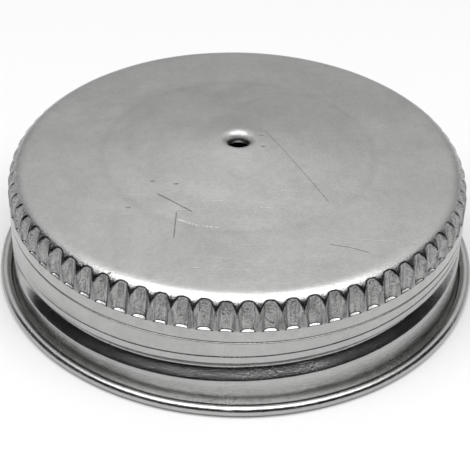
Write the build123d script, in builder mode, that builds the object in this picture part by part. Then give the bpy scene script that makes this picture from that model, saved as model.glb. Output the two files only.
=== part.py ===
from build123d import *
from math import cos, pi, sin
import os

# Outer form in millimetres
rim_radius = 28.5
rim_overhang = 1.7
sheet = 0.35
panel_edge_height = 14.55
panel_slope = 5.0
shoulder_radius = 2.4
crown_inset = 8.6
crown_rise = 2.58

# Vent hole, flanged down out of the panel
vent_radius = 1.25
vent_bend = 0.92
vent_collar_depth = 1.33

# Grip flutes pressed into the band, leaning in towards the panel
flute_count = 72
flute_depth = 0.5
flute_floor_width = 0.84
flute_mouth_width = 1.86
flute_drop = 3.85
flute_lean = 6.0
flute_phase = 3.2

# Crease under the grip band
crease_drop = 1.63
crease_depth = 0.22
crease_above = 0.6
crease_below = 0.15

# Rolled thread, right-handed, five turns to the inch
thread_pitch = 5.08
thread_depth = 1.0
thread_mouth = 2.5
thread_floor = 0.9
thread_front_height = 5.05
thread_start = -76.0
thread_sweep = 246.0
thread_fade = 16.0
thread_points = 60

# Flare and curled rim
curl_radius = 0.63
flare_angle = 90.0
curl_end_angle = 180.0

# Gasket and baffle plate
gasket_width = 6.3
gasket_thickness = 1.9
gasket_clearance = 1.15
gasket_corner = 0.6
baffle_overlap = 2.4
baffle_flange = 4.9
baffle_wall = 1.5
baffle_dish_depth = 1.1
baffle_hole_radius = 0.8
baffle_hole_count = 3
baffle_hole_inset = 6.0
baffle_hole_turn = 30.0
fit_gap = 0.02

# Short flats that each bend of the sheet is drawn with
shoulder_flats = 5
flare_flats = 4
curl_flats = 12

# How far a cutter runs past the face it cuts
past = 0.5

# Sizes that follow from the ones above
skirt_radius = rim_radius - rim_overhang
inner_radius = skirt_radius - sheet
slope = pi * panel_slope / 180
shoulder_centre_r = skirt_radius - shoulder_radius
shoulder_centre_z = panel_edge_height - shoulder_radius
panel_start_r = shoulder_centre_r + shoulder_radius * sin(slope)
panel_start_z = shoulder_centre_z + shoulder_radius * cos(slope)
crown_start_r = shoulder_centre_r - crown_inset
crown_height = panel_edge_height + crown_rise
collar_bottom = crown_height - vent_collar_depth
dimple_radius = vent_radius + vent_bend
flute_bottom = panel_edge_height - flute_drop
crease_height = flute_bottom - crease_drop

# Flare: the inner face of the sheet becomes the outside of the curl
flare = pi * flare_angle / 180
curl_centre_r = rim_radius - curl_radius
flare_end_r = curl_centre_r - curl_radius * cos(flare)
flare_end_z = curl_radius - curl_radius * sin(flare)
flare_radius = (flare_end_r - inner_radius) / (1 - cos(flare))
flare_centre_r = inner_radius + flare_radius
skirt_bottom = flare_end_z + flare_radius * sin(flare)
curl_start_angle = 180 + flare_angle
curl_turn = curl_end_angle + 180 - flare_angle


def bend_points(centre_r, centre_z, radius, start, turn, flats):
    """Give the points of a bend in the section, drawn as short flats."""
    angles = [pi * (start + turn * step / flats) / 180 for step in range(flats + 1)]
    return [(centre_r + radius * cos(angle), centre_z + radius * sin(angle)) for angle in angles]


def flare_points(radius):
    """Give one face of the flare, from the skirt down to the curl."""
    return bend_points(flare_centre_r, skirt_bottom, radius, 180, flare_angle, flare_flats)


def curl_points(radius):
    """Give one face of the curl, from the flare round to its lip."""
    return bend_points(curl_centre_r, curl_radius, radius, curl_start_angle, curl_turn, curl_flats)


def panel_height(radius, inset=0.0):
    """Give the height of the panel's straight part, or of a face set in below it."""
    return panel_start_z + (panel_start_r - radius) * sin(slope) / cos(slope) - inset / cos(slope)


def draw_cup(inset):
    """Draw one face of the sheet from the flare up and over to the vent's collar."""
    collar_r = vent_radius + inset
    foot = Line((collar_r, skirt_bottom), (skirt_radius - inset, skirt_bottom))
    wall = Line(foot @ 1, (skirt_radius - inset, shoulder_centre_z))
    shoulder_arc = (shoulder_centre_r, shoulder_centre_z, shoulder_radius - inset, 0, 90 - panel_slope)
    shoulder = Polyline(bend_points(*shoulder_arc, shoulder_flats))
    panel = Line(shoulder @ 1, (crown_start_r, panel_height(crown_start_r, inset)))
    crown = Line(panel @ 1, (dimple_radius, crown_height - inset))
    bend = RadiusArc(crown @ 1, (collar_r, crown_height - vent_bend), -(vent_bend - inset))
    Line(bend @ 1, foot @ 0)


def draw_tooth(depth, floor_width, mouth_width):
    """Draw a cutter's section: a flat floor inside the wall, a wide mouth past it."""
    spread = (mouth_width - floor_width) / 2 / depth * past
    Polyline(
        (-depth, -floor_width / 2),
        (past, -mouth_width / 2 - spread),
        (past, mouth_width / 2 + spread),
        (-depth, floor_width / 2),
        close=True,
    )


def bulge_widths(depth, floor_width, mouth_width):
    """Give the floor and mouth of the same form one sheet further in."""
    side = (mouth_width - floor_width) / 2 / depth
    grow = sheet * ((1 + side**2) ** 0.5 - side)
    return floor_width + 2 * grow, mouth_width + 2 * grow + 2 * side * sheet


def thread_point(step):
    """Give a point of the thread's path, which leaves the wall at both ends."""
    turned = thread_sweep * step / thread_points
    to_end = min(turned, thread_sweep - turned)
    fade = max(0.0, 1.0 - to_end / thread_fade)
    radius = skirt_radius + (thread_depth + past / 2) * (1 - cos(pi * fade)) / 2
    height = thread_front_height + thread_pitch * (thread_start + turned) / 360
    angle = pi * (thread_start + turned - 90) / 180
    return (radius * cos(angle), radius * sin(angle), height)


# Path of the rolled thread, seen from the outer face of the skirt
with BuildLine() as thread_path:
    Spline([thread_point(step) for step in range(thread_points + 1)])

# The axis keeps the thread's section pointing inwards
with BuildLine() as thread_guide:
    Line((0, 0, 0), (0, 0, crown_height))

thread_angle = pi * (thread_start - 90) / 180
thread_plane = Plane(
    origin=thread_path.line @ 0,
    x_dir=(cos(thread_angle), sin(thread_angle), 0),
    z_dir=thread_path.line % 0,
)

# Groove that the thread roller leaves in the outer face
with BuildPart() as thread_groove:
    with BuildSketch(thread_plane):
        with BuildLine():
            draw_tooth(thread_depth, thread_floor, thread_mouth)
        make_face()
    sweep(path=thread_path.line, binormal=thread_guide.edge())

# Matching rib on the inner face
rib_floor, rib_mouth = bulge_widths(thread_depth, thread_floor, thread_mouth)
with BuildPart() as thread_rib:
    with BuildSketch(thread_plane):
        with BuildLine():
            draw_tooth(thread_depth + sheet, rib_floor, rib_mouth)
        make_face()
    sweep(path=thread_path.line, binormal=thread_guide.edge())

# One flute and the bump behind it, drawn at the wall with X pointing out
lean = pi * flute_lean / 180
lean_up = (-sin(lean), 0, cos(lean))
flute_length = crown_height - flute_bottom
bump_floor, bump_mouth = bulge_widths(flute_depth, flute_floor_width, flute_mouth_width)
with BuildPart() as flute:
    with BuildSketch():
        with BuildLine():
            draw_tooth(flute_depth, flute_floor_width, flute_mouth_width)
        make_face()
    extrude(amount=flute_length, dir=lean_up)
with BuildPart() as bump:
    with BuildSketch():
        with BuildLine():
            draw_tooth(flute_depth + sheet, bump_floor, bump_mouth)
        make_face()
    extrude(amount=flute_length, dir=lean_up)

# Space inside the cup, with the flutes and the thread standing into it
with BuildPart() as cup_space:
    with BuildSketch(Plane.XZ):
        with BuildLine():
            draw_cup(sheet)
        make_face()
        # Room below the vent's collar, across the axis
        with Locations((0, skirt_bottom)):
            Rectangle(
                vent_radius + sheet,
                collar_bottom - skirt_bottom,
                align=(Align.MIN, Align.MIN),
            )
    revolve(axis=Axis.Z)
    with Locations((0, 0, flute_bottom - sheet)):
        with PolarLocations(skirt_radius, flute_count, start_angle=flute_phase - 90):
            add(bump.part, mode=Mode.SUBTRACT)
    add(thread_rib.part, mode=Mode.SUBTRACT)

# Pressed shell: outer form, flutes, crease and groove, less the space inside
with BuildPart() as cap_shell:
    with BuildSketch(Plane.XZ):
        with BuildLine():
            draw_cup(0)
        make_face()
    revolve(axis=Axis.Z)
    with Locations((0, 0, flute_bottom)):
        with PolarLocations(skirt_radius, flute_count, start_angle=flute_phase - 90):
            add(flute.part, mode=Mode.SUBTRACT)
    # The band rolls under into a sharp crease
    with BuildSketch(Plane.XZ):
        with BuildLine():
            Polyline(
                (skirt_radius - crease_depth, crease_height),
                (skirt_radius, crease_height - crease_below),
                (skirt_radius + past, crease_height),
                (skirt_radius, crease_height + crease_above),
                close=True,
            )
        make_face()
    revolve(axis=Axis.Z, mode=Mode.SUBTRACT)
    add(thread_groove.part, mode=Mode.SUBTRACT)
    add(cup_space.part, mode=Mode.SUBTRACT)
    # Flare and curled rim, one strip of sheet turned round into itself
    with BuildSketch(Plane.XZ):
        with BuildLine():
            Line((skirt_radius, skirt_bottom), (inner_radius, skirt_bottom))
            Polyline(flare_points(flare_radius))
            curl_out = Polyline(curl_points(curl_radius))
            curl_in = Polyline(curl_points(curl_radius - sheet))
            Line(curl_out @ 1, curl_in @ 1)
            Polyline(flare_points(flare_radius - sheet))
        make_face()
    revolve(axis=Axis.Z)

# Rubber ring, stepped down round the baffle plate that it holds up
gasket_outer = inner_radius - gasket_clearance
gasket_inner = gasket_outer - gasket_width
gasket_bottom = panel_edge_height - sheet - gasket_thickness
gasket_corner_r = gasket_outer - gasket_corner
gasket_corner_z = panel_height(gasket_corner_r, sheet) - fit_gap
baffle_radius = gasket_inner + baffle_overlap
step_r = baffle_radius + fit_gap
with BuildPart() as gasket:
    with BuildSketch(Plane.XZ):
        with BuildLine():
            Polyline(
                (gasket_inner, gasket_bottom),
                (gasket_outer, gasket_bottom),
                (gasket_outer, gasket_corner_z - gasket_corner),
                (gasket_corner_r, gasket_corner_z),
                (step_r, panel_height(step_r, sheet) - fit_gap),
                (step_r, panel_height(step_r, sheet) - sheet - fit_gap),
                (gasket_inner, panel_height(gasket_inner, sheet) - sheet - fit_gap),
                close=True,
            )
        make_face()
    revolve(axis=Axis.Z)

# Splash disc with a shallow dish and vent holes out of line with the middle
flange_r = baffle_radius - baffle_flange
dish_r = flange_r - baffle_wall
flange_z = panel_height(flange_r, sheet)
dish_z = flange_z - baffle_dish_depth
with BuildPart() as baffle_plate:
    with BuildSketch(Plane.XZ):
        with BuildLine():
            Polyline(
                (0, dish_z),
                (dish_r, dish_z),
                (flange_r, flange_z),
                (baffle_radius, panel_height(baffle_radius, sheet)),
                (baffle_radius, panel_height(baffle_radius, sheet) - sheet),
                (flange_r, flange_z - sheet),
                (dish_r, dish_z - sheet),
                (0, dish_z - sheet),
                close=True,
            )
        make_face()
    revolve(axis=Axis.Z)
    with Locations((0, 0, dish_z)):
        with PolarLocations(dish_r - baffle_hole_inset, baffle_hole_count, start_angle=baffle_hole_turn):
            Hole(baffle_hole_radius, depth=2 * sheet)

# One STEP file for each physical piece
cap_shell.part.label = "cap_shell"
gasket.part.label = "gasket"
baffle_plate.part.label = "baffle_plate"
os.makedirs("parts", exist_ok=True)
export_step(cap_shell.part, "parts/cap_shell.step")
export_step(gasket.part, "parts/gasket.step")
export_step(baffle_plate.part, "parts/baffle_plate.step")
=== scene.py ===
"""Vented screw cap for a small fuel tank, pressed from dull tinned steel."""
import logging
import math
from dataclasses import dataclass, field
from enum import Enum

import bmesh
import bpy
import numpy as np
from mathutils import Matrix, Vector


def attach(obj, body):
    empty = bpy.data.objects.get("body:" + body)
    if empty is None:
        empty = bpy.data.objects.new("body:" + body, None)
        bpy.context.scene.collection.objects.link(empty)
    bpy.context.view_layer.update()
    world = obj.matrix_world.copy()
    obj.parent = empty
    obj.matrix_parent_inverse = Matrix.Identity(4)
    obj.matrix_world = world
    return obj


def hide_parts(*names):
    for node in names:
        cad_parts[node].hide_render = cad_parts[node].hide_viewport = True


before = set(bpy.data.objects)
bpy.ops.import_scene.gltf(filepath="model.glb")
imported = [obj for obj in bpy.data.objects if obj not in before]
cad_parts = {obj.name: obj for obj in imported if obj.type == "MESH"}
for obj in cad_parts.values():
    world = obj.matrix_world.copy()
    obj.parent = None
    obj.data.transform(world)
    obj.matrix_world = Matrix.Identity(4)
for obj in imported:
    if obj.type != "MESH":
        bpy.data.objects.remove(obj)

LOG = logging.getLogger("fuel_cap")
MM = 0.001
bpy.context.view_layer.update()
Array = np.ndarray
Mark = tuple[tuple[float, float], tuple[float, float], float]


class Face(Enum):
    """Side of the sheet that a row of points lies on."""

    OUTER = 1
    INNER = -1


def smooth(low: float, high: float, value: Array) -> Array:
    """Ease from 0 at low to 1 at high.

    Args:
        low: Value that gives 0.
        high: Value that gives 1.
        value: Values to ease.

    Returns:
        The eased values.
    """
    t = np.clip((value - low) / (high - low), 0.0, 1.0)
    return t * t * (3.0 - 2.0 * t)


def soft_min(first: Array, second: Array, blend: float) -> Array:
    """Take the smaller of two fields with a rounded join.

    Args:
        first: First field.
        second: Second field.
        blend: Width of the rounding.

    Returns:
        The rounded minimum.
    """
    h = np.clip(0.5 + 0.5 * (second - first) / blend, 0.0, 1.0)
    return second * (1.0 - h) + first * h - blend * h * (1.0 - h)


class Share(Enum):
    """Which of the ring's azimuths a row keeps: every first, second, and so on."""

    FINE = 1
    MEDIUM = 2
    COARSE = 4
    SMALL = 8
    VENT = 16


@dataclass
class Row:
    """One ring of points round the cap, before the relief is pressed in."""

    radius: float
    height: float
    share: Share
    face: Face = Face.OUTER
    follows: bool = False


@dataclass
class RingMesh:
    """Mesh made of rings of points that are joined one to the next."""

    rings: list[Array] = field(default_factory=list)

    def add(self, ring: Array) -> None:
        """Append a ring of points, in millimetres."""
        self.rings.append(ring)

    @staticmethod
    def bridge(first: tuple[int, int], second: tuple[int, int]) -> list[tuple[int, ...]]:
        """Join two rings whose counts divide each other.

        Args:
            first: Start index and count of the first ring.
            second: Start index and count of the second ring.

        Returns:
            Faces as tuples of point indices.
        """
        (start_a, count_a), (start_b, count_b) = first, second
        faces: list[tuple[int, ...]] = []
        if count_a == count_b:
            for k in range(count_a):
                n = (k + 1) % count_a
                faces.append((start_a + k, start_a + n, start_b + n, start_b + k))
            return faces
        if count_a > count_b:
            step = count_a // count_b
            for k in range(count_b):
                n = (k + 1) % count_b
                fine = [start_a + (k * step + j) % count_a for j in range(step + 1)]
                half = (step + 1) // 2
                for j in range(step):
                    corner = start_b + (k if j < half else n)
                    faces.append((fine[j], fine[j + 1], corner))
                    if j == half - 1:
                        faces.append((fine[half], start_b + n, start_b + k))
            return faces
        return [tuple(reversed(face)) for face in RingMesh.bridge(second, first)]

    def build(self, name: str, closed: bool) -> bpy.types.Object:
        """Make the mesh object.

        Args:
            name: Name of the piece.
            closed: Whether the last ring joins the first.

        Returns:
            The new object, in metres.
        """
        starts = np.cumsum([0] + [len(ring) for ring in self.rings])
        faces: list[tuple[int, ...]] = []
        last = len(self.rings) if closed else len(self.rings) - 1
        for k in range(last):
            n = (k + 1) % len(self.rings)
            first = (int(starts[k]), len(self.rings[k]))
            second = (int(starts[n]), len(self.rings[n]))
            faces.extend(self.bridge(first, second))
        mesh = bpy.data.meshes.new(name)
        points = np.concatenate(self.rings) * MM
        mesh.from_pydata(points.tolist(), [], faces)
        mesh.validate()
        work = bmesh.new()
        work.from_mesh(mesh)
        bmesh.ops.recalc_face_normals(work, faces=work.faces)
        work.to_mesh(mesh)
        work.free()
        mesh.shade_smooth()
        piece = bpy.data.objects.new(name, mesh)
        bpy.context.scene.collection.objects.link(piece)
        return piece


@dataclass
class FluteForm:
    """One grip flute: flat floor, sloped sides, leaning in towards the panel."""

    count: int = 72
    turn: float = 3.2
    floor: float = 0.45
    side: float = 1.02
    depth: float = 0.34
    lean: float = 9.0
    bottom: float = 10.62
    ledge: float = 0.2
    dimple: float = 0.1
    dimple_reach: float = 1.25
    seed: int = 7
    stations: tuple[float, ...] = (-1.0, -0.93, -0.84, -0.71, -0.57, -0.44, -0.36, -0.18)

    def azimuths(self) -> Array:
        """List the azimuths that the rings are cut at, closest at the flutes' edges.

        Returns:
            Degrees round the cap, sixteen to a flute.
        """
        places = list(self.stations) + [0.0] + [-s for s in reversed(self.stations[1:])]
        pitch = 360.0 / self.count
        turns = [(k + s / 2.0) * pitch + self.turn for k in range(self.count) for s in places]
        return np.asarray(turns)

    def across(self, azimuth: Array, radius: float) -> tuple[Array, Array]:
        """Find each point's flute and its distance from that flute's middle.

        Args:
            azimuth: Degrees round the cap.
            radius: Radius of the wall.

        Returns:
            Number of the flute and distance across it in millimetres.
        """
        pitch = 360.0 / self.count
        place = (azimuth - self.turn) / pitch
        nearest = np.round(place)
        which = nearest.astype(int) % self.count
        return which, (place - nearest) * math.radians(pitch) * radius

    def floor_radius(self, which: Array, height: Array, wall: float) -> Array:
        """Give the radius of each flute's floor at a height."""
        chance = np.random.default_rng(self.seed)
        depths = self.depth + 0.035 * chance.standard_normal(self.count)
        above = height - self.bottom
        return wall - np.clip(depths[which], 0.26, 0.42) - above * math.tan(math.radians(self.lean))

    def pressed(self, azimuth: Array, height: Array, wall: float, grow: float) -> Array:
        """Give the radius of the pressed surface, before the shoulder cuts it.

        Args:
            azimuth: Degrees round the cap.
            height: Heights in millimetres.
            wall: Radius of the wall on this face.
            grow: How much wider the floor is on this face.

        Returns:
            Radii in millimetres.
        """
        which, across = self.across(azimuth, wall)
        chance = np.random.default_rng(self.seed + 1)
        shift = 0.03 * chance.standard_normal(self.count)
        away = np.abs(across - np.clip(shift, -0.05, 0.05)[which])
        rise = np.maximum(away - self.floor - grow, 0.0) / self.side
        rounded = np.sqrt(rise**2 + 0.0025) - 0.05
        bow = 0.05 * (1.0 - np.clip(away / self.floor, 0.0, 1.0) ** 2)
        return self.floor_radius(which, height, wall) + rounded - bow

    def below(self, azimuth: Array, height: Array, wall: float) -> Array:
        """Give the depth of the dimple that each flute leaves under its ledge.

        Args:
            azimuth: Degrees round the cap.
            height: Heights in millimetres.
            wall: Radius of the wall.

        Returns:
            Depths in millimetres.
        """
        _, across = self.across(azimuth, wall)
        drop = np.clip((self.bottom - height) / self.dimple_reach, 0.0, 1.0)
        fade = 0.5 + 0.5 * np.cos(math.pi * drop)
        return self.dimple * fade * (0.5 + 0.5 * np.cos(math.pi * np.clip(across / 1.1, -1.0, 1.0)))


@dataclass
class ThreadForm:
    """Rolled thread: a narrow valley that climbs round the skirt, with a fine line above it."""

    pitch: float = 5.08
    depth: float = 1.0
    reach: float = 1.22
    bottom_radius: float = 0.2
    front: float = 5.0
    start: float = -76.0
    sweep: float = 246.0
    fade: float = 22.0
    line_above: float = 2.2
    line_below: float = -1.55
    offsets: tuple[float, ...] = (
        -2.1, -1.85, -1.62, -1.55, -1.48, -1.32, -1.2, -1.05, -0.85, -0.62, -0.42, -0.26, -0.14, -0.05,
        0.05, 0.14, 0.26, 0.42, 0.62, 0.85, 1.05, 1.2, 1.32, 1.6, 1.95, 2.1, 2.16, 2.2, 2.24, 2.32,
    )

    def centre(self, azimuth: Array) -> Array:
        """Give the height of the valley at each azimuth."""
        turned = np.mod(azimuth - self.start, 360.0)
        return self.front + self.pitch * (np.minimum(turned, self.sweep) + self.start) / 360.0

    def guide(self, azimuth: Array, low: float, high: float) -> Array:
        """Give the height that the rings follow, level again behind the cap.

        Args:
            azimuth: Degrees round the cap.
            low: Lowest height.
            high: Highest height.

        Returns:
            Heights in millimetres.
        """
        turned = np.mod(azimuth - self.start, 360.0)
        back = smooth(self.sweep, 360.0, turned)
        start = self.front + self.pitch * self.start / 360.0
        return np.clip(self.centre(azimuth) * (1.0 - back) + start * back, low, high)

    def relief(self, azimuth: Array, height: Array, widen: float) -> Array:
        """Work out how deep the rolled thread is at each point.

        Args:
            azimuth: Degrees round the cap, from the front.
            height: Heights in millimetres.
            widen: How much wider the valley is on this face.

        Returns:
            Depth in millimetres.
        """
        turned = np.mod(azimuth - self.start, 360.0)
        to_end = np.minimum(turned, self.sweep - turned)
        live = smooth(0.0, self.fade, to_end)
        away = height - self.centre(azimuth)
        reach = self.reach + widen
        soft = math.hypot(reach, self.bottom_radius)
        slant = 1.0 - (np.hypot(away, self.bottom_radius) - self.bottom_radius) / (soft - self.bottom_radius)
        edge = 0.09
        valley = 0.5 * (slant + np.sqrt(slant**2 + edge**2)) * (slant > -1.5)
        return self.depth * live * np.maximum(valley - 0.5 * (math.sqrt(1.0 + edge**2) - 1.0), 0.0)

    def lines(self, azimuth: Array, height: Array) -> Array:
        """Work out the fine lines that the roller's edges leave.

        Args:
            azimuth: Degrees round the cap.
            height: Heights in millimetres.

        Returns:
            Depth in millimetres.
        """
        turned = np.mod(azimuth - self.start, 360.0)
        live = smooth(8.0, 30.0, np.minimum(turned, self.sweep - turned))
        away = height - self.centre(azimuth)
        upper = np.exp(-(((away - self.line_above) / 0.05) ** 2)) * 0.05
        step = 0.03 * smooth(-0.6, 0.0, away - self.line_above) * (away < self.line_above)
        lower = np.exp(-(((away - self.line_below) / 0.05) ** 2)) * 0.012
        return live * (upper - step + lower)


@dataclass(frozen=True)
class Dent:
    """Small knock on the skirt, with a raised lip."""

    azimuth: float
    height: float
    wide: float
    tall: float
    depth: float
    tilt: float

    def relief(self, azimuth: Array, height: Array, wall: float) -> Array:
        """Give the depth of the knock.

        Args:
            azimuth: Degrees round the cap.
            height: Heights in millimetres.
            wall: Radius of the wall.

        Returns:
            Depth in millimetres, less than nought on the lip.
        """
        right = np.radians(azimuth - self.azimuth) * wall
        up = height - self.height
        turn = math.radians(self.tilt)
        first = (right * math.cos(turn) + up * math.sin(turn)) / self.wide
        second = (up * math.cos(turn) - right * math.sin(turn)) / self.tall
        away = np.sqrt(first**2 + second**2)
        return self.depth * (np.exp(-(away**2)) - 0.45 * np.exp(-(((away - 1.5) / 0.4) ** 2)))


@dataclass
class CapShell:
    """Pressed sheet: panel, vent hole, shoulder, flutes, thread, flare and curled rim."""

    rim_radius: float = 28.5
    sheet: float = 0.35
    skirt_radius: float = 26.8
    panel_edge: float = 14.55
    panel_slope: float = 5.0
    shoulder: float = 2.4
    crown_start: float = 15.8
    crown: float = 17.13
    vent_radius: float = 1.25
    vent_bend: float = 0.92
    collar_bottom: float = 15.8
    crease: float = 9.07
    crease_lip: float = 0.26
    crease_depth: float = 0.24
    crease_return: float = 0.1
    curl_radius: float = 0.63
    flare_angle: float = 90.0
    curl_end: float = 180.0
    flute: FluteForm = field(default_factory=FluteForm)
    thread: ThreadForm = field(default_factory=ThreadForm)
    dents: tuple[Dent, ...] = (
        Dent(4.6, 5.95, 0.62, 0.3, 0.07, 8.0),
        Dent(2.6, 5.7, 0.3, 0.3, 0.05, 0.0),
        Dent(16.5, 5.1, 0.5, 0.12, 0.05, 12.0),
        Dent(24.4, 6.2, 0.8, 0.25, 0.05, 22.0),
        Dent(43.0, 6.0, 0.9, 0.25, 0.06, -12.0),
    )

    def rows(self) -> list[Row]:
        """List the rings of the section, from the vent hole out, down, and back inside.

        Returns:
            The rows in order round the closed section.
        """
        rows: list[Row] = []
        rows += self.vent_rows(Face.OUTER)
        rows += self.crown_rows(Face.OUTER)
        rows += self.shoulder_rows(Face.OUTER)
        rows += self.band_rows()
        rows += self.skirt_rows(Face.OUTER)
        rows += self.rim_rows()
        rows += reversed(self.skirt_rows(Face.INNER))
        rows += reversed(self.shoulder_rows(Face.INNER))
        rows += reversed(self.crown_rows(Face.INNER))
        rows += reversed(self.vent_rows(Face.INNER))
        return rows

    def vent_rows(self, face: Face) -> list[Row]:
        """Rows of the hole's turned-down edge."""
        inset = 0.0 if face is Face.OUTER else self.sheet
        radius = self.vent_bend - inset
        centre = self.vent_radius + self.vent_bend
        level = self.crown - self.vent_bend
        rows = [Row(self.vent_radius + inset, self.collar_bottom, Share.VENT, face)]
        steps = 9
        for k in range(steps):
            turn = math.radians(180.0 - 86.0 * k / (steps - 1))
            rows.append(Row(centre + radius * math.cos(turn), level + radius * math.sin(turn), Share.VENT, face))
        return rows

    def panel_height(self, radius: float) -> float:
        """Give the height of the panel's outer face, a dome inside a gentle cone."""
        slope = math.tan(math.radians(self.panel_slope))
        edge_r = self.skirt_radius - self.shoulder + self.shoulder * math.sin(math.radians(self.panel_slope))
        edge_z = self.panel_edge - self.shoulder * (1.0 - math.cos(math.radians(self.panel_slope)))
        start = edge_z + (edge_r - self.crown_start) * slope
        inner = self.vent_radius + self.vent_bend
        dome = start + (self.crown - start) * (self.crown_start - radius) / (self.crown_start - inner)
        cone = edge_z + (edge_r - radius) * slope
        gap, blend = dome - cone, 0.12
        return cone + 0.5 * (gap + math.sqrt(gap * gap + blend * blend)) - 0.5 * blend * math.exp(-(gap / blend) ** 2)

    def crown_rows(self, face: Face) -> list[Row]:
        """Rows of the domed panel between vent hole and shoulder."""
        inset = 0.0 if face is Face.OUTER else self.sheet
        inner = self.vent_radius + self.vent_bend
        outer = self.skirt_radius - self.shoulder + self.shoulder * math.sin(math.radians(self.panel_slope))
        radii = [inner + 0.1, 3.0, 4.2, 6.0, 8.5, 11.0, 13.0, 14.2, 15.0, 15.5, 15.8, 16.1, 16.6, 17.4, 19.0, 21.0, 23.0]
        if face is Face.INNER:
            radii = radii[::2]
        rows = []
        for radius in radii + [outer]:
            share = Share.VENT if radius < 5.0 else Share.COARSE
            rows.append(Row(radius, self.panel_height(radius) - inset, share, face))
        return rows

    def shoulder_rows(self, face: Face) -> list[Row]:
        """Rows of the rounded shoulder that the flutes run out on."""
        inset = 0.0 if face is Face.OUTER else self.sheet
        radius = self.shoulder - inset
        centre = self.skirt_radius - self.shoulder
        level = self.panel_edge - self.shoulder
        steps = 26 if face is Face.OUTER else 8
        share = Share.FINE if face is Face.OUTER else Share.MEDIUM
        rows = []
        for k in range(1, steps + 1):
            turn = math.radians((90.0 - self.panel_slope) * (1.0 - k / steps))
            here = Share.COARSE if math.degrees(turn) > 62.0 else share
            rows.append(Row(centre + radius * math.cos(turn), level + radius * math.sin(turn), here, face))
        return rows

    def band_rows(self) -> list[Row]:
        """Rows of the outer wall from the flutes' widest part down to the crease."""
        fine = [11.7, 11.2, 10.9, 10.76, 10.69, 10.65, 10.62, 10.585, 10.54, 10.47, 10.35, 10.15, 9.9, 9.65]
        rows = [Row(self.skirt_radius, z, Share.FINE, Face.OUTER) for z in fine]
        lip = self.crease + self.crease_lip
        for k in range(9):
            rows.append(Row(self.skirt_radius, lip + 0.12 - (self.crease_lip + 0.12) * k / 8, Share.MEDIUM, Face.OUTER))
        for drop in (0.015, 0.04, 0.08, 0.14, 0.24):
            rows.append(Row(self.skirt_radius, self.crease - drop, Share.MEDIUM, Face.OUTER))
        return rows

    def skirt_rows(self, face: Face) -> list[Row]:
        """Rows of the upright wall that follow the thread, from the crease to the flare."""
        bottom = self.skirt_bottom()
        outer = face is Face.OUTER
        radius = self.skirt_radius if outer else self.skirt_radius - self.sheet
        share = Share.MEDIUM if outer else Share.COARSE
        rows = []
        if not outer:
            rows += [Row(radius, z, share, face) for z in (11.5, 10.6, 10.2, 9.2)]
        offsets = sorted(self.thread.offsets, reverse=True)
        if not outer:
            offsets = offsets[3::2]
        rows += [Row(radius, offset, share, face, follows=True) for offset in offsets]
        foot = np.linspace(1.6, bottom + 0.05, 4) if outer else [bottom + 0.2]
        rows += [Row(radius, float(z), share, face) for z in foot]
        return rows

    def flare_radius(self) -> float:
        """Radius of the flare on the inner face of the sheet."""
        turn = math.radians(self.flare_angle)
        end = self.rim_radius - self.curl_radius - self.curl_radius * math.cos(turn)
        return (end - (self.skirt_radius - self.sheet)) / (1.0 - math.cos(turn))

    def skirt_bottom(self) -> float:
        """Height at which the upright wall turns into the flare."""
        turn = math.radians(self.flare_angle)
        end = self.curl_radius - self.curl_radius * math.sin(turn)
        return end + self.flare_radius() * math.sin(turn)

    def rim_rows(self) -> list[Row]:
        """Rows down the outside of the flare, round inside the curl, and back outside it."""
        centre = self.skirt_radius - self.sheet + self.flare_radius()
        level = self.skirt_bottom()
        hub = self.rim_radius - self.curl_radius
        first, last = 180.0 + self.flare_angle, 360.0 + self.curl_end
        bends = (
            (centre, level, self.flare_radius() - self.sheet, 180.0, first, 0, 12, Share.COARSE, Face.OUTER),
            (hub, self.curl_radius, self.curl_radius - self.sheet, first, last, 1, 8, Share.SMALL, Face.OUTER),
            (hub, self.curl_radius, self.curl_radius, last, first, 0, 24, Share.COARSE, Face.INNER),
            (centre, level, self.flare_radius(), first, 180.0, 1, 7, Share.COARSE, Face.INNER),
        )
        rows = []
        for middle, height, reach, begin, end, skipped, steps, share, face in bends:
            for k in range(skipped, steps + 1):
                turn = math.radians(begin + (end - begin) * k / steps)
                rows.append(Row(middle + reach * math.cos(turn), height + reach * math.sin(turn), share, face))
        return rows

    def turn_under(self, height: Array) -> Array:
        """Give how far the band's lip has rolled in at each height, and how soon the wall comes back out.

        Args:
            height: Heights in millimetres.

        Returns:
            Depths in millimetres.
        """
        drop = np.clip((self.crease + self.crease_lip - height) / self.crease_lip, 0.0, 1.0)
        rise = np.clip((self.crease - height) / self.crease_return, 0.0, 1.0)
        rolled = 1.0 - np.sqrt(1.0 - 0.999 * drop**2)
        return self.crease_depth * rolled * (1.0 - np.sqrt(1.0 - (1.0 - rise) ** 2))

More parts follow.
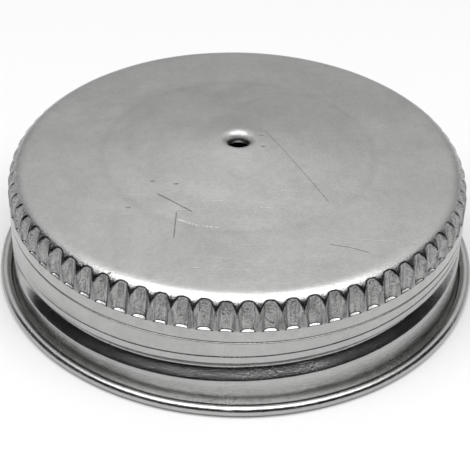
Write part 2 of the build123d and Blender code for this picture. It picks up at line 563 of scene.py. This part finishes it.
    def press(self, row: Row) -> Array:
        """Press the flutes, thread and creases into one row.

        Args:
            row: The row before pressing.

        Returns:
            The row's points in millimetres.
        """
        azimuth = self.flute.azimuths()[:: row.share.value]
        azimuth = np.mod(azimuth + 180.0, 360.0) - 180.0
        radius = np.full(len(azimuth), row.radius)
        height = np.full(len(azimuth), row.height)
        outer = row.face is Face.OUTER
        wall = self.skirt_radius - (0.0 if outer else self.sheet)
        if row.follows:
            guide = self.thread.guide(azimuth, 3.95, 7.1)
            room = np.where(row.height > 0.0, (8.72 - guide) / 2.4, (guide - 1.75) / 2.15)
            height = guide + row.height * np.minimum(room, 1.0)
        elif row.radius > self.skirt_radius - self.shoulder and row.height > self.crease - 0.01:
            radius = self.press_band(row, azimuth, wall)
        if outer and not row.follows and row.height < self.crease:
            radius = radius - self.turn_under(height) * (row.radius > self.skirt_radius - 0.1)
        if row.follows or self.skirt_bottom() < row.height < self.crease + 0.3 and row.radius < self.skirt_radius + 0.01:
            radius = radius - self.thread.relief(azimuth, height, 0.0 if outer else 0.15)
            if outer:
                radius = radius - self.thread.lines(azimuth, height)
                for dent in self.dents:
                    radius = radius - dent.relief(azimuth, height, self.skirt_radius)
        if row.height < 15.0 or row.follows:
            radius = radius + self.unevenness(azimuth, height)
        angle = np.radians(azimuth - 90.0)
        return np.stack([radius * np.cos(angle), radius * np.sin(angle), height], axis=-1)

    def press_band(self, row: Row, azimuth: Array, wall: float) -> Array:
        """Press the flutes and the lip under them.

        Args:
            row: The row before pressing.
            azimuth: Degrees round the cap.
            wall: Radius of the wall on this face.

        Returns:
            Radii of the row's points.
        """
        outer = row.face is Face.OUTER
        bottom = self.flute.bottom - (0.0 if outer else self.sheet)
        radius = np.full(len(azimuth), row.radius)
        height = np.full(len(azimuth), row.height)
        flute = self.flute.pressed(azimuth, height, wall, 0.0 if outer else 0.14)
        opened = soft_min(radius, flute, 0.04)
        if not outer:
            return opened if row.height > bottom else radius
        shut = radius - self.flute.below(azimuth, height, wall)
        share = smooth(bottom - 0.06, bottom + 0.08, height)
        return opened * share + shut * (1.0 - share) - self.turn_under(height)

    def unevenness(self, azimuth: Array, height: Array) -> Array:
        """Give the slow waves that rolling leaves in thin sheet, in millimetres."""
        turn = np.radians(azimuth)
        wave = 0.018 * np.sin(3.0 * turn + 0.7) + 0.012 * np.sin(7.0 * turn + 2.1 + height * 0.35)
        wave += 0.008 * np.sin(13.0 * turn - 0.9 * height) + 0.006 * np.sin(23.0 * turn + 1.7 * height)
        return wave

    def build(self) -> bpy.types.Object:
        """Make the shell as one closed sheet.

        Returns:
            The new object.
        """
        form = RingMesh()
        for row in self.rows():
            form.add(self.press(row))
        return form.build("pressed_shell", closed=True)


@dataclass(frozen=True)
class TinFinish:
    """Dull tinned sheet."""

    name: str
    colour: tuple[float, float, float]
    roughness: float
    mottle: float
    scratch: float


@dataclass(frozen=True)
class RubberFinish:
    """Matt moulded rubber."""

    name: str
    colour: tuple[float, float, float]
    roughness: float


@dataclass
class NodeDesk:
    """Short calls for adding nodes to one tree."""

    tree: bpy.types.NodeTree

    def node(self, kind: str, **values: object) -> bpy.types.Node:
        """Add a node and set its properties."""
        made = self.tree.nodes.new(kind)
        for key, value in values.items():
            setattr(made, key, value)
        return made

    def plug(self, target: bpy.types.NodeSocket, value: object) -> None:
        """Link a socket, or set a plain value, on a target input."""
        if isinstance(value, bpy.types.NodeSocket):
            self.tree.links.new(value, target)
        else:
            target.default_value = value

    def math(self, operation: str, first: object, second: object = 0.0, clamp: bool = False) -> bpy.types.NodeSocket:
        """Add a maths node and give its output."""
        made = self.node("ShaderNodeMath", operation=operation, use_clamp=clamp)
        self.plug(made.inputs[0], first)
        self.plug(made.inputs[1], second)
        return made.outputs[0]

    def vector(self, operation: str, first: object, second: object = (0.0, 0.0, 0.0)) -> bpy.types.Node:
        """Add a vector maths node."""
        made = self.node("ShaderNodeVectorMath", operation=operation)
        self.plug(made.inputs[0], first)
        self.plug(made.inputs[1], second)
        return made

    def ramp(self, value: object, low: float, high: float, out_low: float = 0.0, out_high: float = 1.0) -> bpy.types.NodeSocket:
        """Ease a value from one range to another."""
        made = self.node("ShaderNodeMapRange", interpolation_type="SMOOTHSTEP")
        self.plug(made.inputs["Value"], value)
        made.inputs["From Min"].default_value = low
        made.inputs["From Max"].default_value = high
        made.inputs["To Min"].default_value = out_low
        made.inputs["To Max"].default_value = out_high
        return made.outputs["Result"]

    def noise(self, place: object, scale: float, detail: float = 3.0, rough: float = 0.5) -> bpy.types.NodeSocket:
        """Add a noise texture and give its value."""
        made = self.node("ShaderNodeTexNoise")
        self.plug(made.inputs["Vector"], place)
        made.inputs["Scale"].default_value = scale
        made.inputs["Detail"].default_value = detail
        made.inputs["Roughness"].default_value = rough
        return made.outputs["Fac"]

    def mix(self, share: object, first: object, second: object) -> bpy.types.NodeSocket:
        """Mix two colours."""
        made = self.node("ShaderNodeMix", data_type="RGBA")
        self.plug(made.inputs[0], share)
        self.plug(made.inputs[6], first)
        self.plug(made.inputs[7], second)
        return made.outputs[2]


@dataclass
class EffectGroups:
    """Shader node groups that more than one finish uses, built once."""

    made: dict[str, bpy.types.NodeTree] = field(default_factory=dict)

    def start(self, name: str, inputs: dict[str, tuple[str, object]], outputs: dict[str, str]) -> tuple[NodeDesk, bpy.types.Node, bpy.types.Node]:
        """Open a new group with named sockets.

        Args:
            name: Name of the group.
            inputs: Socket name to kind and default.
            outputs: Socket name to kind.

        Returns:
            The desk for the tree, its input node and its output node.
        """
        tree = bpy.data.node_groups.new(name, "ShaderNodeTree")
        for label, (kind, default) in inputs.items():
            socket = tree.interface.new_socket(label, in_out="INPUT", socket_type=kind)
            socket.default_value = default
        for label, kind in outputs.items():
            tree.interface.new_socket(label, in_out="OUTPUT", socket_type=kind)
        desk = NodeDesk(tree)
        self.made[name] = tree
        return desk, desk.node("NodeGroupInput"), desk.node("NodeGroupOutput")

    def build(self) -> None:
        """Build every group."""
        self.build_grain()
        self.build_scratches()
        self.build_smudges()
        self.build_mark()

    def build_grain(self) -> None:
        """Fine rolled grain of sheet or moulded skin: a height and a tone."""
        desk, given, out = self.start(
            "fine_grain",
            {"Place": ("NodeSocketVector", (0.0, 0.0, 0.0)), "Scale": ("NodeSocketFloat", 6.0)},
            {"Height": "NodeSocketFloat", "Tone": "NodeSocketFloat"},
        )
        fine = desk.node("ShaderNodeTexNoise")
        desk.plug(fine.inputs["Vector"], given.outputs["Place"])
        desk.plug(fine.inputs["Scale"], given.outputs["Scale"])
        fine.inputs["Detail"].default_value = 4.0
        fine.inputs["Roughness"].default_value = 0.65
        wide = desk.noise(given.outputs["Place"], 0.9, 3.0, 0.6)
        desk.plug(out.inputs["Height"], fine.outputs["Fac"])
        tone = desk.math("MULTIPLY", fine.outputs["Fac"], 0.6)
        desk.plug(out.inputs["Tone"], desk.math("ADD", tone, desk.math("MULTIPLY", wide, 0.4)))

    def build_scratches(self) -> None:
        """Fine scuffs in several directions, as a mask."""
        desk, given, out = self.start(
            "fine_scratches",
            {"Place": ("NodeSocketVector", (0.0, 0.0, 0.0)), "Density": ("NodeSocketFloat", 0.5)},
            {"Mask": "NodeSocketFloat"},
        )
        total: object = 0.0
        for turn, scale, stretch in ((0.5, 1.3, 26.0), (1.25, 1.1, 34.0), (2.2, 1.6, 22.0), (2.9, 0.9, 40.0)):
            place = desk.node("ShaderNodeMapping")
            desk.plug(place.inputs["Vector"], given.outputs["Place"])
            place.inputs["Rotation"].default_value = (0.0, 0.0, turn)
            place.inputs["Scale"].default_value = (scale * 0.12, scale * 0.12 * stretch, 0.3)
            line = desk.noise(place.outputs["Vector"], 1.0, 1.5, 0.4)
            cut = desk.math("SUBTRACT", 0.775, desk.math("MULTIPLY", given.outputs["Density"], 0.08))
            edge = desk.math("MULTIPLY", desk.math("SUBTRACT", line, cut), 22.0, clamp=True)
            total = desk.math("MAXIMUM", total, edge)
        desk.plug(out.inputs["Mask"], total)

    def build_smudges(self) -> None:
        """Cloudy handling marks, as a mask round one half."""
        desk, given, out = self.start(
            "handling_smudges",
            {"Place": ("NodeSocketVector", (0.0, 0.0, 0.0)), "Scale": ("NodeSocketFloat", 0.12)},
            {"Mask": "NodeSocketFloat"},
        )
        cloud = desk.node("ShaderNodeTexNoise")
        desk.plug(cloud.inputs["Vector"], given.outputs["Place"])
        desk.plug(cloud.inputs["Scale"], given.outputs["Scale"])
        cloud.inputs["Detail"].default_value = 5.0
        cloud.inputs["Roughness"].default_value = 0.62
        cloud.inputs["Distortion"].default_value = 0.6
        desk.plug(out.inputs["Mask"], desk.ramp(cloud.outputs["Fac"], 0.3, 0.7))

    def build_mark(self) -> None:
        """One straight scratch between two points of the panel, as a mask."""
        desk, given, out = self.start(
            "straight_mark",
            {
                "Place": ("NodeSocketVector", (0.0, 0.0, 0.0)),
                "Start": ("NodeSocketVector", (0.0, 0.0, 0.0)),
                "Finish": ("NodeSocketVector", (1.0, 0.0, 0.0)),
                "Width": ("NodeSocketFloat", 0.1),
            },
            {"Mask": "NodeSocketFloat"},
        )
        run = desk.vector("SUBTRACT", given.outputs["Finish"], given.outputs["Start"]).outputs["Vector"]
        away = desk.vector("SUBTRACT", given.outputs["Place"], given.outputs["Start"]).outputs["Vector"]
        along = desk.vector("DOT_PRODUCT", away, run).outputs["Value"]
        length = desk.vector("DOT_PRODUCT", run, run).outputs["Value"]
        share = desk.math("DIVIDE", along, length, clamp=True)
        foot = desk.node("ShaderNodeVectorMath", operation="SCALE")
        desk.plug(foot.inputs[0], run)
        desk.plug(foot.inputs["Scale"], share)
        gap = desk.vector("DISTANCE", away, foot.outputs["Vector"]).outputs["Value"]
        reach = desk.math("SUBTRACT", 1.0, desk.math("DIVIDE", gap, given.outputs["Width"]), clamp=True)
        desk.plug(out.inputs["Mask"], reach)

    def place(self, desk: NodeDesk, name: str, **values: object) -> bpy.types.Node:
        """Place a group in a material.

        Args:
            desk: Desk of the material's tree.
            name: Name of the group.
            **values: Input values or sockets, with the socket's name in lower case.

        Returns:
            The group node.
        """
        made = desk.node("ShaderNodeGroup")
        made.node_tree = self.made[name]
        for label, value in values.items():
            desk.plug(made.inputs[label.capitalize()], value)
        return made


@dataclass
class Materials:
    """Builds the finishes of the cap's pieces."""

    groups: EffectGroups
    skirt_radius: float = 26.8

    def open(self, name: str) -> tuple[bpy.types.Material, NodeDesk, bpy.types.Node, bpy.types.NodeSocket]:
        """Start a material.

        Args:
            name: Name of the material.

        Returns:
            The material, its desk, its Principled node, and the place in millimetres.
        """
        material = bpy.data.materials.new(name)
        material.use_nodes = True
        desk = NodeDesk(material.node_tree)
        surface = material.node_tree.nodes["Principled BSDF"]
        where = desk.node("ShaderNodeTexCoord").outputs["Object"]
        scale = desk.node("ShaderNodeVectorMath", operation="SCALE")
        desk.plug(scale.inputs[0], where)
        scale.inputs["Scale"].default_value = 1000.0
        return material, desk, surface, scale.outputs["Vector"]

    def tin(self, finish: TinFinish, marks: bool) -> bpy.types.Material:
        """Make tinned sheet.

        Args:
            finish: The finish's values.
            marks: Whether the panel's own scratches are on it.

        Returns:
            The material.
        """
        material, desk, surface, place = self.open(finish.name)
        grain = self.groups.place(desk, "fine_grain", place=place, scale=3.6)
        scuffs = self.groups.place(desk, "fine_scratches", place=place, density=finish.scratch)
        clouds = self.groups.place(desk, "handling_smudges", place=place, scale=0.13)
        parts = desk.node("ShaderNodeSeparateXYZ")
        desk.plug(parts.inputs["Vector"], place)
        flat = desk.vector("MULTIPLY", place, (1.0, 1.0, 0.0)).outputs["Vector"]
        radius = desk.vector("LENGTH", flat).outputs["Value"]
        on_panel = desk.ramp(radius, 25.9, 24.9)
        upper = desk.ramp(parts.outputs["Z"], 13.8, 14.4)
        panel = desk.math("MULTIPLY", on_panel, upper)
        tone = desk.math("SUBTRACT", grain.outputs["Tone"], 0.5)
        cloud = desk.math("SUBTRACT", clouds.outputs["Mask"], 0.5)
        shade = desk.math("ADD", desk.math("MULTIPLY", tone, finish.mottle), desk.math("MULTIPLY", cloud, 0.10))
        # Painted shade: a faint darker band where the domed middle of the panel meets its outer cone.
        ring = desk.math("ABSOLUTE", desk.math("SUBTRACT", radius, 15.8))
        painted_ring_shade = desk.math("MULTIPLY", desk.ramp(ring, 0.9, 0.0), desk.math("MULTIPLY", panel, 0.06))
        rubbed, painted_ridge_shade = self.band_wear_and_shade(desk, parts, radius)
        # The ridges between the flutes are darkened with painted shade that stands in for their dark reflection; the
        # scuffs, rubbing lines and marks are real wear.
        dark: object = desk.math("ADD", desk.math("MULTIPLY", scuffs.outputs["Mask"], 0.10), desk.math("MULTIPLY", painted_ridge_shade, 0.35))
        dark = desk.math("ADD", dark, desk.math("MULTIPLY", rubbed, 0.30))
        deep: object = 0.0
        if marks:
            deep = self.panel_marks(desk, place)
            dark = desk.math("ADD", dark, desk.math("MULTIPLY", deep, 0.65))
            # Painted highlight: a broken bright glint along the crown's edge lightens the sheet's colour.
            glint = desk.math("MULTIPLY", self.painted_crown_glints(desk, place), desk.ramp(grain.outputs["Height"], 0.42, 0.55))
            dark = desk.math("SUBTRACT", dark, desk.math("MULTIPLY", glint, 0.8))
        value = desk.math("SUBTRACT", desk.math("ADD", 1.0, shade), desk.math("ADD", dark, painted_ring_shade))
        colour = desk.node("ShaderNodeVectorMath", operation="SCALE")
        colour.inputs[0].default_value = finish.colour
        desk.plug(colour.inputs["Scale"], value)
        desk.plug(surface.inputs["Base Color"], colour.outputs["Vector"])
        surface.inputs["Metallic"].default_value = 1.0
        rough = desk.math("ADD", finish.roughness, desk.math("MULTIPLY", panel, 0.13))
        rough = desk.math("ADD", rough, desk.math("MULTIPLY", cloud, 0.06))
        desk.plug(surface.inputs["Roughness"], desk.math("ADD", rough, desk.math("MULTIPLY", tone, 0.10)))
        bump = desk.node("ShaderNodeBump")
        bump.inputs["Strength"].default_value = 0.5
        bump.inputs["Distance"].default_value = 0.00006
        relief = desk.math("SUBTRACT", grain.outputs["Height"], desk.math("MULTIPLY", scuffs.outputs["Mask"], 0.4))
        relief = desk.math("SUBTRACT", relief, desk.math("MULTIPLY", rubbed, 0.8))
        desk.plug(bump.inputs["Height"], desk.math("SUBTRACT", relief, deep))
        desk.plug(surface.inputs["Normal"], bump.outputs["Normal"])
        return material

    def band_wear_and_shade(
        self, desk: NodeDesk, parts: bpy.types.Node, radius: bpy.types.NodeSocket
    ) -> tuple[bpy.types.NodeSocket, bpy.types.NodeSocket]:
        """Draw the upright rubbing lines in the flutes, and the painted shade on the ridges between them.

        Args:
            desk: Desk of the material's tree.
            parts: Node that gives the place's parts in millimetres.
            radius: Distance from the axis in millimetres.

        Returns:
            Mask of the lines, and mask of the painted shade on the ridges.
        """
        height = parts.outputs["Z"]
        round_cap = desk.math("MULTIPLY", desk.math("ARCTAN2", parts.outputs["Y"], parts.outputs["X"]), self.skirt_radius)
        along = desk.node("ShaderNodeCombineXYZ")
        desk.plug(along.inputs["X"], round_cap)
        desk.plug(along.inputs["Z"], desk.math("MULTIPLY", height, 0.12))
        lines = desk.ramp(desk.noise(along.outputs["Vector"], 4.0, 3.0, 0.7), 0.45, 0.65)
        outside = desk.ramp(radius, 25.2, 25.5)
        zone = desk.math("MULTIPLY", desk.ramp(height, 10.5, 10.8), desk.ramp(height, 14.2, 13.6))
        # Painted shade: the ridge crests between the flutes, darkened in the lower part of the fluted band.
        ridge = desk.math("MULTIPLY", desk.ramp(radius, 26.5, 26.72), desk.ramp(height, 13.0, 12.3))
        return desk.math("MULTIPLY", lines, desk.math("MULTIPLY", zone, outside)), desk.math("MULTIPLY", ridge, zone)

    def panel_marks(self, desk: NodeDesk, place: bpy.types.NodeSocket) -> bpy.types.NodeSocket:
        """Add the separate dark scratches and specks on the panel."""
        marks = (
            ((-8.8, -9.5), (-5.0, -12.5), 0.13),
            ((-6.6, -12.6), (-6.7, -16.7), 0.08),
            ((3.0, 2.3), (10.1, -9.9), 0.05),
            ((10.1, -17.1), (12.2, -17.4), 0.1),
            ((12.2, -17.4), (14.1, -18.0), 0.1),
            ((-9.7, -7.2), (-9.4, -7.2), 0.16),
            ((-12.1, -11.5), (-11.8, -11.5), 0.16),
            ((-13.4, -22.0), (-13.1, -22.0), 0.16),
            ((2.5, 1.0), (2.8, 1.0), 0.16),
            ((2.7, -1.3), (3.0, -1.3), 0.16),
            ((11.0, 21.9), (11.3, 21.9), 0.16),
            ((-7.0, -7.9), (-6.7, -7.9), 0.16),
        )
        return self.lay_marks(desk, place, marks)

    def painted_crown_glints(self, desk: NodeDesk, place: bpy.types.NodeSocket) -> bpy.types.NodeSocket:
        """Add the painted highlight: a bright glint along the crown's edge."""
        glints = (
            ((-6.4, -13.8), (-4.2, -14.8), 0.12),
            ((-4.2, -14.8), (-2.0, -15.1), 0.12),
        )
        return self.lay_marks(desk, place, glints)

    def lay_marks(self, desk: NodeDesk, place: bpy.types.NodeSocket, marks: tuple[Mark, ...]) -> bpy.types.NodeSocket:
        """Lay straight marks over the panel.

        Args:
            desk: Desk of the material's tree.
            place: Place in millimetres.
            marks: Start, finish and half width of each mark.

        Returns:
            Their mask.
        """
        total: object = 0.0
        flat = desk.vector("MULTIPLY", place, (1.0, 1.0, 0.0)).outputs["Vector"]
        for start, finish, width in marks:
            mark = self.groups.place(
                desk, "straight_mark", place=flat, start=(*start, 0.0), finish=(*finish, 0.0), width=width
            )
            total = desk.math("MAXIMUM", total, mark.outputs["Mask"])
        return total

    def rubber(self, finish: RubberFinish) -> bpy.types.Material:
        """Make moulded rubber."""
        material, desk, surface, place = self.open(finish.name)
        grain = self.groups.place(desk, "fine_grain", place=place, scale=7.0)
        clouds = self.groups.place(desk, "handling_smudges", place=place, scale=0.2)
        dust = desk.math("MULTIPLY", clouds.outputs["Mask"], 0.35)
        pale = tuple(min(1.0, channel * 2.6) for channel in finish.colour)
        desk.plug(surface.inputs["Base Color"], desk.mix(dust, (*finish.colour, 1.0), (*pale, 1.0)))
        rough = desk.math("ADD", finish.roughness, desk.math("MULTIPLY", grain.outputs["Tone"], 0.12))
        desk.plug(surface.inputs["Roughness"], rough)
        bump = desk.node("ShaderNodeBump")
        bump.inputs["Strength"].default_value = 0.4
        bump.inputs["Distance"].default_value = 0.00008
        desk.plug(bump.inputs["Height"], grain.outputs["Height"])
        desk.plug(surface.inputs["Normal"], bump.outputs["Normal"])
        return material


@dataclass
class Studio:
    """Pale floor, soft light and the camera."""

    distance: float = 171.0
    aim_height: float = 7.125
    elevation: float = 35.4
    roll: float = 1.335
    focal_pixels: float = 1427.0
    aim_pixel: tuple[float, float] = (236.98, 209.06)
    frame_pixels: int = 470
    card_steps: int = 32

    def build_camera(self) -> None:
        """Place the camera at the photograph's viewing angle."""
        camera = bpy.data.objects.new("camera", bpy.data.cameras.new("camera"))
        bpy.context.scene.collection.objects.link(camera)
        rise = math.radians(self.elevation)
        reach = self.distance * MM
        aim = Vector((0.0, 0.0, self.aim_height * MM))
        camera.location = aim + Vector((0.0, -math.cos(rise), math.sin(rise))) * reach
        turn = Matrix.Rotation(math.radians(90.0 - self.elevation), 4, "X")
        tilt = Matrix.Rotation(math.radians(self.roll), 4, "Z")
        camera.rotation_euler = (turn @ tilt).to_euler()
        lens = camera.data
        lens.sensor_width = 36.0
        lens.lens = 36.0 * self.focal_pixels / self.frame_pixels
        half = self.frame_pixels / 2
        lens.shift_x = -(self.aim_pixel[0] - half) / self.frame_pixels
        lens.shift_y = (self.aim_pixel[1] - half) / self.frame_pixels
        lens.clip_start = 0.01
        bpy.context.scene.camera = camera

    def build_world(self) -> None:
        """White surroundings for the camera and for mirrors, softer light for the rest."""
        world = bpy.data.worlds.new("studio_world")
        bpy.context.scene.world = world
        world.use_nodes = True
        desk = NodeDesk(world.node_tree)
        background = world.node_tree.nodes["Background"]
        path = desk.node("ShaderNodeLightPath")
        seen = desk.math("MAXIMUM", path.outputs["Is Camera Ray"], path.outputs["Is Glossy Ray"])
        seen = desk.math("MAXIMUM", seen, path.outputs["Is Transmission Ray"])
        desk.plug(background.inputs["Strength"], desk.math("ADD", 0.45, desk.math("MULTIPLY", seen, 0.55)))
        background.inputs["Color"].default_value = (1.0, 1.0, 1.0, 1.0)

    def build_floor(self) -> None:
        """Lay the pale floor."""
        mesh = bpy.data.meshes.new("floor")
        side = 3.0
        mesh.from_pydata(
            [(-side, -side, 0.0), (side, -side, 0.0), (side, side, 0.0), (-side, side, 0.0)], [], [(0, 1, 2, 3)]
        )
        floor = bpy.data.objects.new("floor", mesh)
        bpy.context.scene.collection.objects.link(floor)
        material = bpy.data.materials.new("pale_floor")
        material.use_nodes = True
        surface = material.node_tree.nodes["Principled BSDF"]
        surface.inputs["Base Color"].default_value = (0.9, 0.9, 0.9, 1.0)
        surface.inputs["Roughness"].default_value = 0.9
        surface.inputs["Specular IOR Level"].default_value = 0.0
        mesh.materials.append(material)

    def build_card(self, name: str, bearing: float, half: float, radius: float, top: float, shade: float) -> None:
        """Stand a curved card round part of the cap, which only the metal mirrors.

        Args:
            name: Name of the card.
            bearing: Degrees from the X axis to the card's middle.
            half: Half of the arc that it covers, in degrees.
            radius: Distance from the cap's axis in metres.
            top: Height in metres.
            shade: Grey of the card.
        """
        mesh = bpy.data.meshes.new(name)
        points: list[tuple[float, float, float]] = []
        for k in range(self.card_steps + 1):
            turn = math.radians(bearing - half + 2.0 * half * k / self.card_steps)
            for height in (0.0, top):
                points.append((radius * math.cos(turn), radius * math.sin(turn), height))
        faces = [(2 * k, 2 * k + 2, 2 * k + 3, 2 * k + 1) for k in range(self.card_steps)]
        mesh.from_pydata(points, [], faces)
        card = bpy.data.objects.new(name, mesh)
        bpy.context.scene.collection.objects.link(card)
        material = bpy.data.materials.new(name)
        material.use_nodes = True
        surface = material.node_tree.nodes["Principled BSDF"]
        surface.inputs["Base Color"].default_value = (shade, shade, shade, 1.0)
        surface.inputs["Roughness"].default_value = 1.0
        surface.inputs["Specular IOR Level"].default_value = 0.0
        mesh.materials.append(material)
        card.visible_camera = False
        card.visible_diffuse = False
        card.visible_shadow = False

    def light(self, name: str, place: tuple[float, float, float], size: tuple[float, float], power: float) -> None:
        """Hang a soft box that faces the cap.

        Args:
            name: Name of the light.
            place: Position in metres.
            size: Width and height in metres.
            power: Power in watts.
        """
        lamp = bpy.data.lights.new(name, "AREA")
        lamp.shape = "RECTANGLE"
        lamp.size, lamp.size_y = size
        lamp.energy = power
        holder = bpy.data.objects.new(name, lamp)
        bpy.context.scene.collection.objects.link(holder)
        holder.location = place
        away = Vector(place) - Vector((0.0, 0.0, 0.01))
        holder.rotation_euler = away.to_track_quat("Z", "Y").to_euler()
        holder.visible_camera = False

    def build(self) -> None:
        """Build the studio."""
        self.build_camera()
        self.build_world()
        self.build_floor()
        self.build_card("black_card", -90.0, 95.0, 0.06, 0.046, 0.01)
        self.build_card("grey_card", 90.0, 75.0, 0.4, 0.24, 0.6)
        self.light("overhead_box", (0.0, -0.12, 0.45), (0.7, 0.34), 2.2)
        bpy.context.scene.view_settings.view_transform = "Standard"


def dress_cap(materials: Materials) -> None:
    """Build the visible pieces and give every piece its finish.

    Args:
        materials: Maker of the finishes.
    """
    shell = CapShell().build()
    plate = TinFinish("tinned_sheet", (0.44, 0.44, 0.435), 0.24, 0.55, 0.35)
    shell.data.materials.append(materials.tin(plate, marks=True))
    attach(shell, "root")
    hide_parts("cap_shell")
    LOG.info("pressed shell: %d faces", len(shell.data.polygons))
    inner_plate = TinFinish("baffle_sheet", (0.42, 0.42, 0.415), 0.3, 0.2, 0.4)
    rubber = RubberFinish("gasket_rubber", (0.045, 0.045, 0.045), 0.7)
    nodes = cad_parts
    for name, material in (("baffle_plate", materials.tin(inner_plate, False)), ("gasket", materials.rubber(rubber))):
        node = nodes[name]
        for slot in node.material_slots:
            slot.material = material
        LOG.info("dressed %s", name)


def main() -> None:
    """Build the whole picture in order."""
    logging.basicConfig(level=logging.INFO)
    groups = EffectGroups()
    groups.build()
    Studio().build()
    dress_cap(Materials(groups))


if __name__ == "__main__":
    main()
